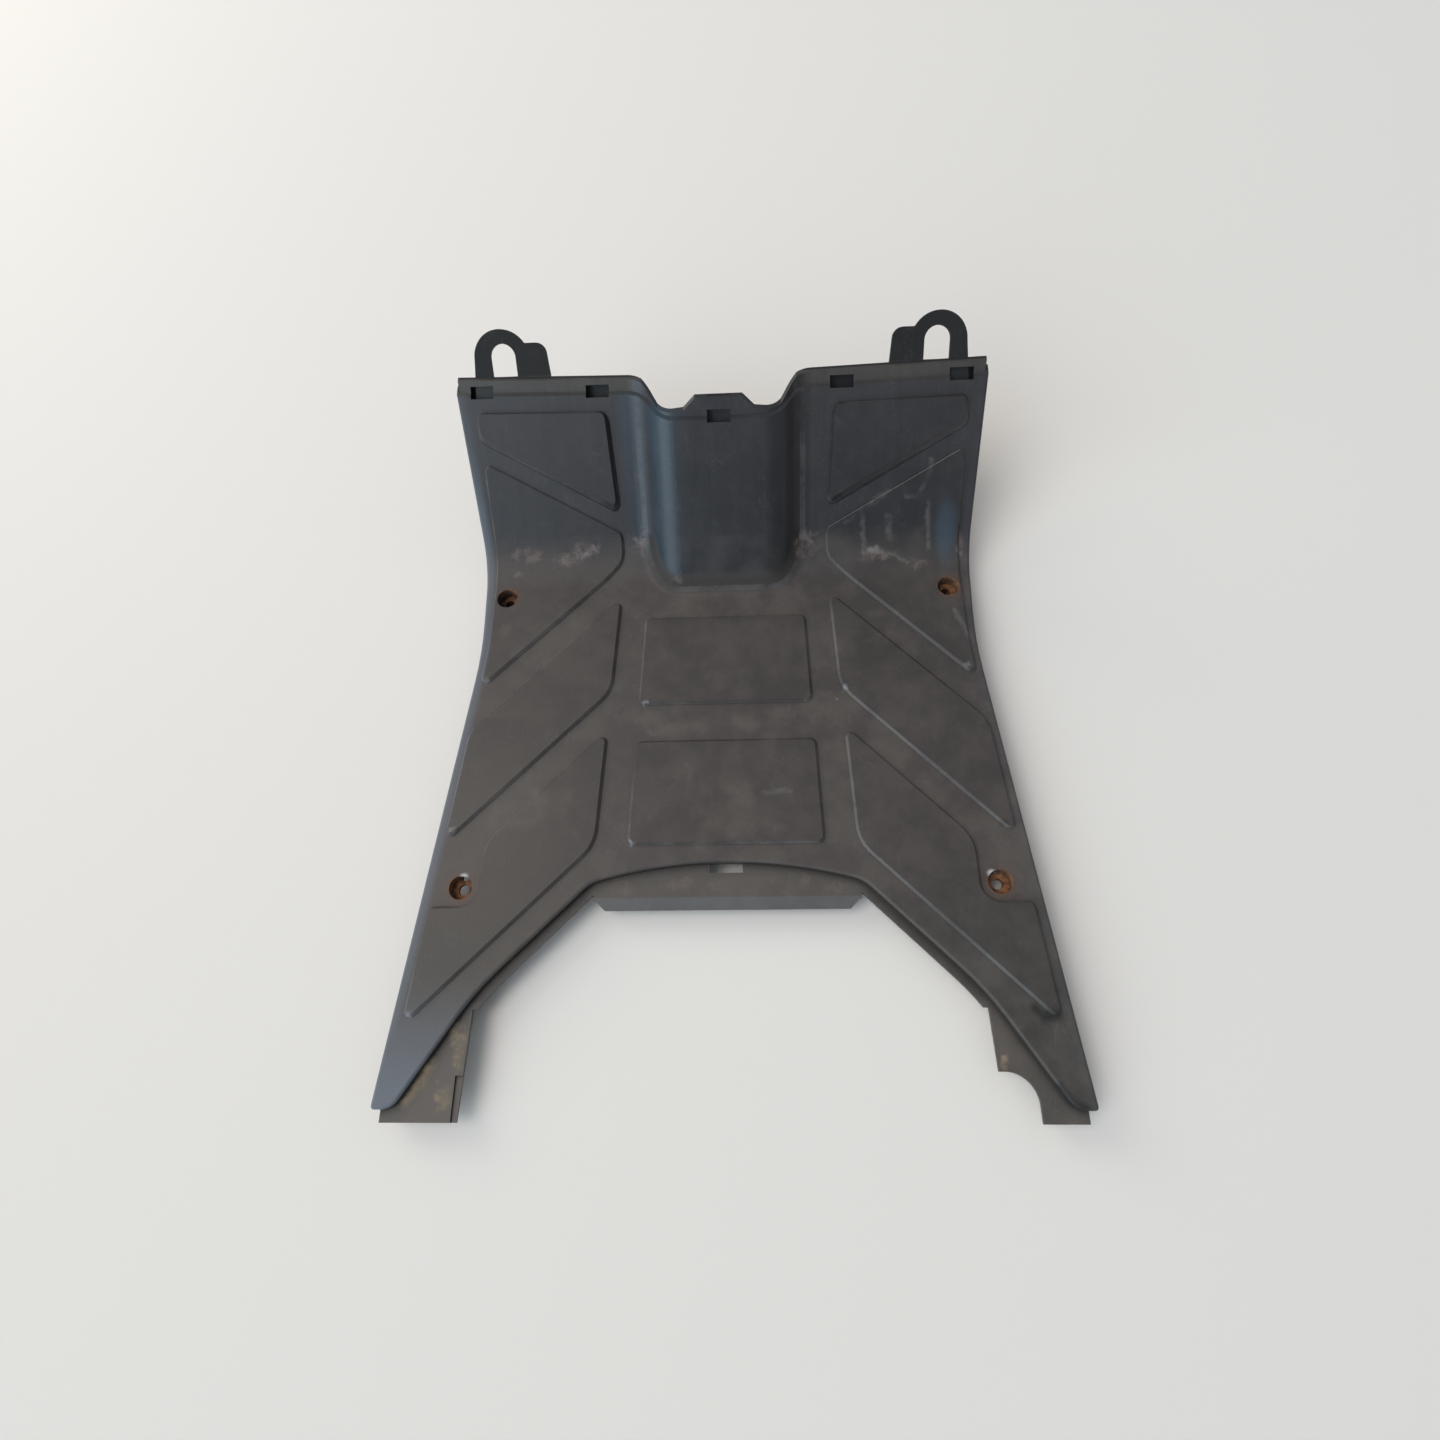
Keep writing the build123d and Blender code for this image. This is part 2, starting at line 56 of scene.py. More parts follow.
# Parts of the board, each where all its limits hold, in the measures that measure_board explains
PARTS = {
    "pad": [("lift", 0.4, 1.8)],
    "toe": [("ragged_run", -12.0, 20.0)],
    "bulge": [("lift", 3.9, 9.0), ("run", -60.0, -10.0)],
    "left_flank": [("sideways", -24.0, -38.0)],
    "flank_foot": [("sideways", -48.0, -56.0), ("sideways", -74.0, -65.0), ("run", -15.0, 20.0)],
    "bulge_foot": [("lift", 8.0, 3.0), ("lift", 0.1, 0.6), ("across", 62.0, 52.0),
                   ("run", 25.0, 5.0), ("run", -60.0, -40.0)],
    "below": [BELOW_SKIN],
    "lip": [ON_LIP],
    "ear": [("run", 129.6, 131.6)],
    "under": [("facing", 0.05, -0.25)],
    "upward": [UPWARD],
    "leg": [("run", -225.0, -300.0)],
    "left_leg": [("sideways", -60.0, -150.0), ("run", -120.0, -200.0), UPWARD],
    "left_tip": [LEFTWARD, ("run", -285.0, -368.0)],
    "leftward": [LEFTWARD],
    "rim": [("to_edge", 9.0, 2.5)],
    "top_side": [("facing", 0.0, 0.3), ("lift", -2.4, -1.2)],
    "lip_slot": [("lift", -3.2, -4.4), ON_LIP, ("facing", -0.3, -0.1)],
    "crest_slot": [ON_LIP, ("lift", 13.9, 12.8), ("across", 9.0, 8.0), ("lift", 2.0, 4.0)],
    "pad_edge": [("lift", 0.05, 0.5), ("lift", 3.38, 2.9)],
    "pad_inside": [("across", 88.0, 82.0), ("across", 68.0, 71.0), ("run", 36.0, 44.0)],
    "pad_outside": [("off_toe", 0.97, 0.85), ("across", 66.0, 70.0), ("run", 10.0, 26.0),
                    ("run", 108.0, 104.0)],
    "bevel": [("lift", 0.3, 0.6), ("lift", 1.98, 1.80)],
    "tongue": ON_TONGUE,
    "tongue_strip": ON_TONGUE + [("run", -246.4, -248.0)],
    "ledge": [BELOW_SKIN, UPWARD, ("across", 80.0, 90.0), ("run", -314.0, -306.0), ("run", -180.0, -190.0)],
    "above_posts": [("lift", -10.0, -7.0)],
}

# Colours of the worn plastic, and of the shade and light painted on it, as linear red, green, blue
PAD_GREY = (0.054, 0.044, 0.041)
CHANNEL_GREY = (0.068, 0.056, 0.052)
# The toe board's plastic with painted shade, darker than the floor where the slope faces away from the light
TOE_SHADED_GREY = (0.022, 0.019, 0.022)
TOE_CHANNEL_SHADED_GREY = (0.028, 0.025, 0.028)
# Painted light on the bevels of the toe pads' outer edges, palest where they face up
TOE_EDGE_PAINTED_LIGHT = (0.036, 0.033, 0.036)
TOE_EDGE_PAINTED_HIGHLIGHT = (0.130, 0.120, 0.120)
BULGE_GREY = (0.018, 0.017, 0.021)
# Painted bluish sheen, reflected light, on the bulge's left flank and at its foot
FLANK_PAINTED_SHEEN = (0.018, 0.034, 0.051)
LEG_GREY = (0.044, 0.040, 0.036)
SHELF_GREY = (0.092, 0.079, 0.070)
LIP_GREY = (0.047, 0.042, 0.037)
EAR_BLACK = (0.006, 0.006, 0.008)
# Painted black shade for the slots, the toe pads' inner edges and the dark hooks
PAINTED_SHADE_BLACK = (0.004, 0.004, 0.005)
UNDER_GREY = (0.030, 0.030, 0.033)
DUST_TAN = (0.190, 0.160, 0.138)
# Brown for grime, and for painted shade in corners, under steps and at the bulge's foot
GRIME_AND_SHADE_BROWN = (0.016, 0.012, 0.010)
SCUFF_PINK = (0.305, 0.205, 0.185)
SCUFF_WHITE = (0.330, 0.320, 0.315)
# Bluish white for rubbed wear, and for painted highlights on the pads' corners
WORN_AND_HIGHLIGHT_WHITE = (0.400, 0.430, 0.460)
# Bluish bloom of the weathered plastic, with painted reflection of the bright sky on the left rim and tip
BLOOM_AND_REFLECTION_BLUE = (0.178, 0.222, 0.282)
SHEEN_BLUE = (0.045, 0.085, 0.125)
RUST_BROWN = (0.130, 0.052, 0.022)
RUST_ORANGE = (0.330, 0.145, 0.060)
MUD_TAN = (0.300, 0.235, 0.150)
# Painted light for the pale spots at the rear cups' rims
GLINT_WHITE = (0.560, 0.570, 0.580)

# How much each kind of dirt, wear, painted shade and painted light covers what is below it
COVER = {
    "leg": 0.75,
    "flank_foot": 0.6,
    "channel_dust": 0.20,
    "pad_dust": 0.12,
    "toe_dust": 0.04,
    "specks": 0.07,
    "pale_patches": 0.22,
    "tongue_strip": 0.16,
    "tongue_stains": 0.22,
    "left_leg_dust_and_light": 0.13,
    "floor_grime_and_shade": 0.22,
    "toe_grime_and_shade": 0.08,
    "shelf_shade": 0.90,
    "ledge_shade": 0.92,
    "outer_edge": 0.75,
    "bulge_foot": 0.40,
    "inner_edge": 0.85,
    "slot": 0.95,
    "pink_scuffs": 0.36,
    "white_scuffs": 0.26,
    "scratches": 0.19,
    "hairlines": 0.10,
    "rubbed_and_lit_corners": 0.45,
    "shaded_corners": 0.85,
    "dark_hooks": 0.95,
    "edge_rub": 0.10,
    "sheen": 0.60,
    "left_tip": 0.58,
    "mud": 0.85,
    "stain": 0.28,
    "rust": 0.92,
    "glints": 0.90,
}

# Noise: scale per millimetre, detail and roughness
BROAD_TONE = (0.014, 3.0, 0.55)
MIDDLE_TONE = (0.060, 4.0, 0.60)
FINE_TONE = (0.45, 3.0, 0.65)
SPECK_NOISE = (0.9, 2.0, 0.7)
SAND_NOISE = (2.2, 2.0, 0.6)
HAIR_NOISE = (1.0, 2.0, 0.5)
DRIP_NOISE = (0.16, 3.0, 0.6)
BROAD_CLOUDS = (0.05, 3.0, 0.60)
MIDDLE_CLOUDS = (0.16, 4.0, 0.66)
FINE_CLOUDS = (0.42, 4.0, 0.64)
CLOUD_MIDDLE = 0.5

# How broad, middling and fine noise add up to tone and to dust, and pebbles and sand to the moulded grain
TONE_SHARES = (0.55, 0.30, 0.15)
DUST_SHARES = (0.35, 0.65)
PEBBLE_SCALE = 0.95
GRAIN_SHARES = (-0.6, 0.7)

# How far crooked marks wander, and how far the border of the toe board's colour does, in millimetres
WOBBLE_SCALE = 0.16
WOBBLE_DETAIL = 2.0
WOBBLE_REACH = (5.0, 5.0, 5.0)
RAGGED_REACH = 40.0

# Drips down the toe board: how much they are drawn out, and how strong they are
DRIP_SQUASH = 0.05
DRIP_STRENGTH = 0.14

# Fades: where each begins and where it is full
DUST_FADE = (0.40, 0.66)
SPECK_FADE = (0.62, 0.74)
HAIR_WIDTH = (0.012, 0.0)
HAIR_FADE = (0.50, 0.66)
PATCH_REACH = (1.25, 0.15)
PATCH_FADE = (0.30, 0.72)
SCRATCH_REACH = (1.6, 0.0)
SCRATCH_FADE = (0.22, 0.62)
CUP_REACH = (8.6, 6.6)
RUST_FADE = (0.34, 0.56)
STAIN_REACH = (15.0, 7.0)
STAIN_FADE = (0.30, 0.70)
RUST_SHADES = (0.40, 0.60)
GRIME_AND_SHADE_FADE = (0.95, 0.60)
LEDGE_SHADE_FADE = (0.96, 0.76)
EDGE_FACING = (0.3, 0.9)
EDGE_RUB_TONE = (0.35, 0.75)

# Ranges: from, to, and the two values that these become
NOISE_TONE = (0.30, 0.70, 0.0, 1.0)
FILM_TONE = (0.0, 1.0, 0.82, 1.18)
REAR_TONE = (-190.0, -70.0, 1.0, 0.90)
FRONT_TONE = (60.0, 100.0, 1.0, 1.40)
# Painted shade: the right side darker than the left
SIDE_SHADE = (0.0, 1.0, 0.87, 1.00)
DRIP_TONE = (0.3, 0.7, -1.0, 1.0)
RIM_SIDE = (0.0, 1.0, 0.05, 0.40)
RIM_FRONT = (90.0, 40.0, 0.35, 1.0)
FILM_ROUGHNESS = (0.0, 1.0, -0.05, 0.07)

# How far painted shade and grime reach out of a corner, in metres, and how finely that is measured
GRIME_AND_SHADE_REACH = 0.010
GRIME_AND_SHADE_SAMPLES = 6

# Hairlines: directions in radians, and how they are drawn out along, across and up
HAIR_TURNS = (0.5, 1.9)
HAIR_STRETCH = (0.035, 0.42, 0.10)

# How much a patch thins out away from its middle
PATCH_THINNING = 0.42

# Rust: how much more lies on the worse side of a cup, and the amount that leaves the clouds as they are
RUST_SIDE = 0.16
RUST_MIDDLE = 0.5

# What a direction is multiplied by to lay it level
LEVEL = (1.0, 1.0, 0.0)

# Roughness of each part, of ears and the bulge's foot, of rust and mud, and how much dust adds to it
FLOOR_ROUGHNESS = 0.54
TOE_ROUGHNESS = 0.44
BULGE_ROUGHNESS = 0.36
DULL_ROUGHNESS = 0.80
DIRT_ROUGHNESS = 0.88
DUST_ROUGHNESS = 0.6

# Relief: how deep scratches are cut, and how strong and how high the bumps are, in metres
SCRATCH_DEPTH = -0.5
BUMP_STRENGTH = 0.35
BUMP_HEIGHT = 0.00025

# Which sockets of a Mix node take what is under and what is over, and which gives the result
MIX_SOCKETS = {"FLOAT": (2, 3, 0), "RGBA": (6, 7, 2)}

# Scuffs where shoes rub the bend: middle and reach, in millimetres
PINK_SCUFFS = (
    ((-144.4, 134.0, 29.0), (20, 11, 11)),
    ((-118.5, 130.3, 25.8), (24, 11, 11)),
    ((-100.0, 136.0, 30.5), (16, 10, 10)),
    ((-61.9, 137.2, 31.9), (10, 16, 14)),
    ((60.0, 136.0, 30.5), (15, 20, 16)),
    ((139.0, 119.5, 22.9), (14, 7, 6)),
    ((110.0, 126.0, 25.0), (24, 8, 8)),
    ((171.0, 132.4, 26.4), (5, 20, 14)),
)
WHITE_SCUFFS = (
    ((-93.3, 137.5, 31.0), (5, 8, 8)),
    ((-118.0, 130.0, 27.2), (6, 5, 6)),
    ((-105.0, 132.5, 28.4), (10, 6, 8)),
    ((-152.4, 120.8, 22.2), (8, 6, 6)),
    ((-60.0, 143.5, 35.5), (7, 9, 10)),
    ((-34.3, 113.4, 23.3), (9, 8, 8)),
    ((62.0, 139.0, 31.6), (8, 9, 10)),
    ((110.0, 130.5, 27.5), (9, 6, 6)),
    ((171.0, 127.0, 24.0), (4, 7, 6)),
)

# Pale rubbed patches on the floor, pinkish stains on the tongue, and a bluish sheen painted in as reflected
# light at the right of the bend
PALE_PATCHES = (
    ((-159.3, 73.7, 20.5), (9, 12, 6)),
    ((108.6, 59.3, 22.0), (14, 10, 6)),
    ((79.1, 56.2, 22.0), (10, 12, 6)),
    ((0.0, -65.0, 22.0), (75, 45, 8)),
    ((-40.0, 0.0, 20.0), (45, 18, 6)),
    ((25.0, 0.0, 20.0), (45, 18, 6)),
    ((-120.0, -60.0, 22.0), (50, 40, 8)),
)
TONGUE_STAINS = (
    ((-68.0, -110.0, 15.0), (14, 12, 5)),
    ((-30.0, -108.0, 15.0), (16, 10, 5)),
    ((-5.0, -110.0, 15.0), (12, 8, 5)),
    ((49.6, -107.4, 15.0), (7, 12, 5)),
    ((70.0, -111.0, 15.0), (12, 9, 5)),
)
SHEEN_PATCHES = (
    ((160.0, 138.0, 36.0), (13, 40, 34)),
)

# Scratches: from, to and width, in millimetres
SCRATCHES = (
    ((118.8, 196.7, 92.5), (119.4, 187.9, 83.0), 1.6),
    ((147.3, 174.6, 68.8), (144.7, 165.4, 58.9), 1.8),
    ((144.7, 165.4, 58.9), (137.0, 157.6, 50.6), 1.8),
    ((137.0, 157.6, 50.6), (129.9, 158.2, 51.2), 1.6),
    ((146.3, 155.9, 48.8), (148.0, 131.0, 27.0), 1.8),
    ((99.9, 149.8, 42.2), (101.5, 129.0, 27.0), 2.2),
    ((118.5, 149.4, 41.8), (120.0, 137.0, 31.5), 2.2),
    ((101.5, 128.5, 26.6), (110.0, 130.5, 27.5), 2.4),
    ((110.0, 130.5, 27.5), (122.5, 126.0, 25.6), 2.4),
    ((122.5, 126.0, 25.6), (130.0, 121.5, 24.0), 2.0),
    ((87.9, 146.7, 38.8), (119.1, 161.3, 54.5), 1.8),
    ((25.0, -51.8, 22.0), (41.9, -50.1, 22.0), 2.0),
    ((162.6, 81.0, 22.0), (171.5, 56.7, 22.0), 2.2),
)

# Corners of the tread pads that are rubbed and painted bright as a highlight where they face the light, and
# corners painted dark with shade, with the reach of each
RUBBED_AND_LIT_CORNERS = (
    (-178.5, -74.2, 22.0),
    (-190.5, -187.0, 22.0),
    (166.6, 38.2, 22.0),
    (81.8, 22.2, 22.0),
    (-167.6, 33.9, 22.0),
    (-55.2, 14.2, 22.0),
    (-61.3, -83.8, 22.0),
    (76.7, 15.5, 22.0),
)
RUBBED_AND_LIT_REACH = (5.0, 5.0, 4.0)
SHADED_CORNERS = (
    (186.4, -187.7, 22.0),
    (175.1, -74.2, 22.0),
    (165.9, 32.1, 22.0),
)
SHADED_REACH = (7.0, 7.0, 5.0)

# Dark hooks of painted shadow on the right leg, where the step and the leg's tip fall in shade: from, to and
# width
DARK_HOOKS = (
    ((179.0, -184.4, 21.0), (183.9, -189.3, 21.0), 3.0),
    ((183.9, -189.3, 21.0), (190.3, -188.2, 21.0), 3.8),
    ((186.5, -226.5, 19.5), (192.7, -235.1, 19.5), 3.0),
    ((192.7, -235.1, 19.5), (199.5, -237.6, 19.5), 3.4),
)

# Pale spots of painted light on the rims of the rear screw cups, where bright ground shows through
PAINTED_GLINTS = (
    ((-167.6, -103.6, 19.0), (3.4, 2.6, 3.0)),
    ((164.6, -105.4, 19.0), (3.6, 3.0, 3.0)),
)

# Marks that no clouds break up have this even value in their place
HOOK_FILL = 0.7
SHEEN_FILL = 0.6
GLINT_FILL = 0.75

# Screw cups: middle, the side where the rust is strongest, and how much of it there is
SCREW_CUPS = (
    ((-160.0, 100.8, 20.0), (0.7, 0.5, 0.0), 0.44),
    ((160.0, 100.8, 20.0), (0.9, -0.2, 0.0), 0.58),
    ((-169.0, -110.8, 20.0), (-0.8, -0.6, 0.0), 0.64),
    ((169.0, -110.8, 20.0), (0.9, -0.4, 0.0), 0.64),
)

# Dried mud on the low flanges of the legs: patches by middle and reach, and streaks by ends and width
MUD_PATCHES = (
    ((-160.5, -201.0, 15.0), (9, 17, 8)),
    ((-160.0, -213.0, 15.0), (7, 14, 8)),
    ((-165.5, -232.0, 15.0), (8, 13, 8)),
    ((159.8, -211.0, 15.0), (4, 9, 6)),
)
MUD_STREAKS = (
    ((-176.5, -214.0, 15.0), (-180.6, -223.7, 15.0), 4.0),
    ((-180.6, -223.7, 15.0), (-188.0, -234.3, 15.0), 3.2),
)


def place_camera():
    """Set the camera up where the photograph was taken."""
    data = bpy.data.cameras.new("camera")
    data.lens = CAMERA_LENS
    data.sensor_width = SENSOR_WIDTH
    data.clip_start = NEAREST_SEEN
    camera = bpy.data.objects.new("camera", data)
    bpy.context.scene.collection.objects.link(camera)
    turn = Matrix((CAMERA_RIGHT, CAMERA_UP, -CAMERA_FORWARD)).transposed().to_4x4()
    camera.matrix_world = Matrix.Translation(CAMERA_PLACE) @ turn
    bpy.context.scene.camera = camera


def lay_floor():
    """A plain pale floor under the part."""
    bpy.ops.mesh.primitive_plane_add(size=GROUND_SIZE, location=(0, 0, 0))
    floor = bpy.context.object
    floor.name = "floor"
    paint = bpy.data.materials.new("pale_floor")
    paint.use_nodes = True
    shader = paint.node_tree.nodes["Principled BSDF"]
    shader.inputs["Base Color"].default_value = GROUND_PAINT
    shader.inputs["Roughness"].default_value = GROUND_ROUGHNESS
    floor.data.materials.append(paint)


def make_lamp(name, kind, towards, strength, colour):
    """A lamp of some kind that shines from one direction on the board."""
    data = bpy.data.lights.new(name, kind)
    data.energy = strength
    data.color = colour
    lamp = bpy.data.objects.new(name, data)
    bpy.context.scene.collection.objects.link(lamp)
    lamp.rotation_euler = Vector(towards).to_track_quat("Z", "Y").to_euler()
    return lamp


def hang_lamp(name, towards, spread, strength, colour):
    """A large soft lamp far off in one direction, as wide as its spread in degrees."""
    lamp = make_lamp(name, "SUN", towards, strength, colour)
    lamp.data.angle = math.radians(spread)


def stand_lamp(name, spot, size, strength, colour):
    """A square soft box that faces the board from nearby."""
    lamp = make_lamp(name, "AREA", spot, strength, colour)
    lamp.data.size = size
    lamp.location = spot
    lamp.visible_camera = False


def light_scene():
    """Soft studio light, strongest from the left."""
    world = bpy.data.worlds.new("studio")
    bpy.context.scene.world = world
    world.use_nodes = True
    back = world.node_tree.nodes["Background"]
    back.inputs["Color"].default_value = SKY_COLOUR
    back.inputs["Strength"].default_value = SKY_STRENGTH
    hang_lamp("low_window", (-0.70, -0.60, 0.39), spread=58.0, strength=1.65, colour=(0.74, 0.90, 1.0))
    hang_lamp("roof_light", (-0.44, -0.04, 0.89), spread=36.0, strength=0.95, colour=(1.0, 0.95, 0.90))
    stand_lamp("side_window", (-2.2, 1.6, 1.5), size=1.8, strength=30.0, colour=(1.0, 0.93, 0.83))


def feed(tree, socket, value):
    """Give a socket a plain value, a colour, or a link from another node."""
    if isinstance(value, bpy.types.NodeSocket):
        tree.links.new(value, socket)
    elif socket.type == "RGBA":
        socket.default_value = (*value, 1.0)
    else:
        socket.default_value = value


def add(tree, kind, inputs, **settings):
    """Place a node with its settings and what goes into it."""
    made = tree.nodes.new("ShaderNode" + kind)
    for name, value in settings.items():
        setattr(made, name, value)
    for name, value in inputs.items():
        feed(tree, made.inputs[name], value)
    return made


def sums(tree, operation, *values):
    """A number worked out from one, two or three others."""
    return add(tree, "Math", dict(enumerate(values)), operation=operation).outputs[0]


def lines(tree, operation, *values):
    """A place or direction worked out from others."""
    return add(tree, "VectorMath", dict(enumerate(values)), operation=operation).outputs["Vector"]


def lengths(tree, operation, *values):
    """A number worked out from places or directions, such as a length."""
    return add(tree, "VectorMath", dict(enumerate(values)), operation=operation).outputs["Value"]


def times(tree, first, *others):
    """Several numbers or masks multiplied together."""
    for other in others:
        first = sums(tree, "MULTIPLY", first, other)
    return first


def largest(tree, first, *others):
    """The largest of several numbers or masks at each point."""
    for other in others:
        first = sums(tree, "MAXIMUM", first, other)
    return first


def fade(tree, value, span):
    """A soft step over a span, 0 at its start and 1 at its end."""
    inputs = {"Value": value, "From Min": span[0], "From Max": span[1]}
    return add(tree, "MapRange", inputs, interpolation_type="SMOOTHSTEP").outputs["Result"]


def stretch(tree, value, spans):
    """A number moved from one range into another."""
    labels = ("From Min", "From Max", "To Min", "To Max")
    return add(tree, "MapRange", {"Value": value, **dict(zip(labels, spans))}).outputs["Result"]


def blend(tree, kind, mask, under, over, **settings):
    """A Mix node for numbers or for colours: under where the mask is 0, over where it is 1."""
    low, high, result = MIX_SOCKETS[kind]
    inputs = {0: mask, low: under, high: over}
    return add(tree, "Mix", inputs, data_type=kind, **settings).outputs[result]


def mix(tree, mask, under, over, manner="MIX"):
    """One colour over another, where the mask is."""
    return blend(tree, "RGBA", mask, under, over, blend_type=manner)


def choose(tree, mask, under, over):
    """One number or the other, by the mask."""
    return blend(tree, "FLOAT", mask, under, over)


def laid_over(tree, colour, mask, kind, over):
    """A colour with another laid over it where the mask is, as much as that kind of mark covers."""
    return mix(tree, times(tree, mask, COVER[kind]), colour, over)


def speckle(tree, place, noise):
    """Cloudy noise, about 0.5 in the middle."""
    scale, detail, rough = noise
    inputs = {"Vector": place, "Scale": scale, "Detail": detail, "Roughness": rough}
    return add(tree, "TexNoise", inputs).outputs["Fac"]


def start_group(name, inputs, outputs):
    """A node group with named inputs and outputs."""
    tree = bpy.data.node_groups.new(name, "ShaderNodeTree")
    for label, kind in inputs:
        tree.interface.new_socket(label, in_out="INPUT", socket_type="NodeSocket" + kind)
    for label in outputs:
        tree.interface.new_socket(label, in_out="OUTPUT", socket_type="NodeSocketFloat")
    given = tree.nodes.new("NodeGroupInput").outputs
    wanted = tree.nodes.new("NodeGroupOutput").inputs
    return tree, given, wanted


def use_group(tree, name, inputs):
    """Place a node group with what goes into it."""
    made = tree.nodes.new("ShaderNodeGroup")
    made.node_tree = bpy.data.node_groups[name]
    for label, value in inputs.items():
        feed(tree, made.inputs[label], value)
    return made.outputs


def make_board_lines():
    """How high a point stands over the moulded skin, and how far it is from the bend and the outer edge."""
    outputs = ["Lift", "Run", "Across", "To Edge"]
    tree, given, wanted = start_group("board_lines", [("Place", "Vector")], outputs)
    axes = add(tree, "SeparateXYZ", {"Vector": given["Place"]}).outputs
    ahead = sums(tree, "SUBTRACT", axes["Y"], BEND_LINE)
    height = sums(tree, "SUBTRACT", axes["Z"], FLOOR_LEVEL)
    rise = times(tree, height, math.sin(TOE_ANGLE))
    up_slope = sums(tree, "MULTIPLY_ADD", ahead, math.cos(TOE_ANGLE), rise)
    fall = times(tree, ahead, -math.sin(TOE_ANGLE))
    off_slope = sums(tree, "MULTIPLY_ADD", height, math.cos(TOE_ANGLE), fall)
    flat = sums(tree, "POWER", sums(tree, "ADD", ahead, BEND_REACH), 2.0)
    down = sums(tree, "POWER", sums(tree, "SUBTRACT", BEND_RADIUS, height), 2.0)
    off_bend = sums(tree, "SUBTRACT", BEND_RADIUS, sums(tree, "SQRT", sums(tree, "ADD", flat, down)))
    on_slope = sums(tree, "GREATER_THAN", up_slope, BEND_REACH)
    on_floor = sums(tree, "LESS_THAN", ahead, -BEND_REACH)
    feed(tree, wanted["Lift"], choose(tree, on_floor, choose(tree, on_slope, off_bend, off_slope), height))
    feed(tree, wanted["Run"], choose(tree, on_slope, ahead, up_slope))
    across = sums(tree, "ABSOLUTE", axes["X"])
    feed(tree, wanted["Across"], across)
    rear = sums(tree, "MULTIPLY_ADD", axes["Y"], REAR_HALF_WIDTH[1], REAR_HALF_WIDTH[0])
    front = sums(tree, "MULTIPLY_ADD", axes["Y"], FRONT_HALF_WIDTH[1], FRONT_HALF_WIDTH[0])
    feed(tree, wanted["To Edge"], sums(tree, "SUBTRACT", largest(tree, rear, front), across))


def make_dust_film():
    """Uneven tone and a film of dust, from broad clouds down to fine specks."""
    tree, given, wanted = start_group("dust_film", [("Place", "Vector")], ["Tone", "Dust", "Specks"])
    place = given["Place"]
    broad, middle, fine = [speckle(tree, place, noise) for noise in (BROAD_TONE, MIDDLE_TONE, FINE_TONE)]
    tone = sums(tree, "MULTIPLY_ADD", middle, TONE_SHARES[1], times(tree, fine, TONE_SHARES[2]))
    tone = sums(tree, "MULTIPLY_ADD", broad, TONE_SHARES[0], tone)
    feed(tree, wanted["Tone"], stretch(tree, tone, NOISE_TONE))
    cloud = sums(tree, "MULTIPLY_ADD", middle, DUST_SHARES[1], times(tree, broad, DUST_SHARES[0]))
    feed(tree, wanted["Dust"], fade(tree, cloud, DUST_FADE))
    feed(tree, wanted["Specks"], fade(tree, speckle(tree, place, SPECK_NOISE), SPECK_FADE))


def make_moulded_grain():
    """The fine leathery grain that the mould leaves on the plastic."""
    tree, given, wanted = start_group("moulded_grain", [("Place", "Vector")], ["Height"])
    inputs = {"Vector": given["Place"], "Scale": PEBBLE_SCALE}
    pebbles = add(tree, "TexVoronoi", inputs, feature="F1").outputs["Distance"]
    sand = times(tree, speckle(tree, given["Place"], SAND_NOISE), GRAIN_SHARES[1])
    feed(tree, wanted["Height"], sums(tree, "MULTIPLY_ADD", pebbles, GRAIN_SHARES[0], sand))


def make_hairlines():
    """Faint hair-thin rub marks that run in one direction."""
    inputs = [("Place", "Vector"), ("Turn", "Float"), ("Clouds", "Float")]
    tree, given, wanted = start_group("hairlines", inputs, ["Mask"])
    inputs = {"Vector": given["Place"], "Angle": given["Turn"]}
    turned = add(tree, "VectorRotate", inputs, rotation_type="Z_AXIS").outputs["Vector"]
    wave = speckle(tree, lines(tree, "MULTIPLY", turned, HAIR_STRETCH), HAIR_NOISE)
    wave = sums(tree, "ABSOLUTE", sums(tree, "SUBTRACT", wave, CLOUD_MIDDLE))
    thin = fade(tree, wave, HAIR_WIDTH)
    feed(tree, wanted["Mask"], times(tree, thin, fade(tree, given["Clouds"], HAIR_FADE)))


def make_scuff_patch():
    """A broken rubbed patch round one spot."""
    inputs = [("Place", "Vector"), ("Middle", "Vector"), ("Reach", "Vector"), ("Clouds", "Float")]
    tree, given, wanted = start_group("scuff_patch", inputs, ["Mask"])
    off = lines(tree, "DIVIDE", lines(tree, "SUBTRACT", given["Place"], given["Middle"]), given["Reach"])
    near = fade(tree, lengths(tree, "LENGTH", off), PATCH_REACH)
    held = sums(tree, "MULTIPLY_ADD", sums(tree, "SUBTRACT", near, 1.0), PATCH_THINNING, given["Clouds"])
    feed(tree, wanted["Mask"], fade(tree, held, PATCH_FADE))


def make_scratch_mark():
    """A scratch from one point to another, broken by the clouds."""
    inputs = [("Place", "Vector"), ("From", "Vector"), ("To", "Vector"),
              ("Width", "Float"), ("Clouds", "Float")]
    tree, given, wanted = start_group("scratch_mark", inputs, ["Mask"])
    run = lines(tree, "SUBTRACT", given["To"], given["From"])
    off = lines(tree, "SUBTRACT", given["Place"], given["From"])
    way = lengths(tree, "DOT_PRODUCT", off, run)
    part_way = sums(tree, "DIVIDE", way, lengths(tree, "DOT_PRODUCT", run, run))
    held = add(tree, "Clamp", {"Value": part_way}).outputs["Result"]
    foot = add(tree, "VectorMath", {0: run, "Scale": held}, operation="SCALE").outputs["Vector"]
    away = sums(tree, "DIVIDE", lengths(tree, "DISTANCE", off, foot), given["Width"])
    broken = fade(tree, given["Clouds"], SCRATCH_FADE)
    feed(tree, wanted["Mask"], times(tree, fade(tree, away, SCRATCH_REACH), broken))


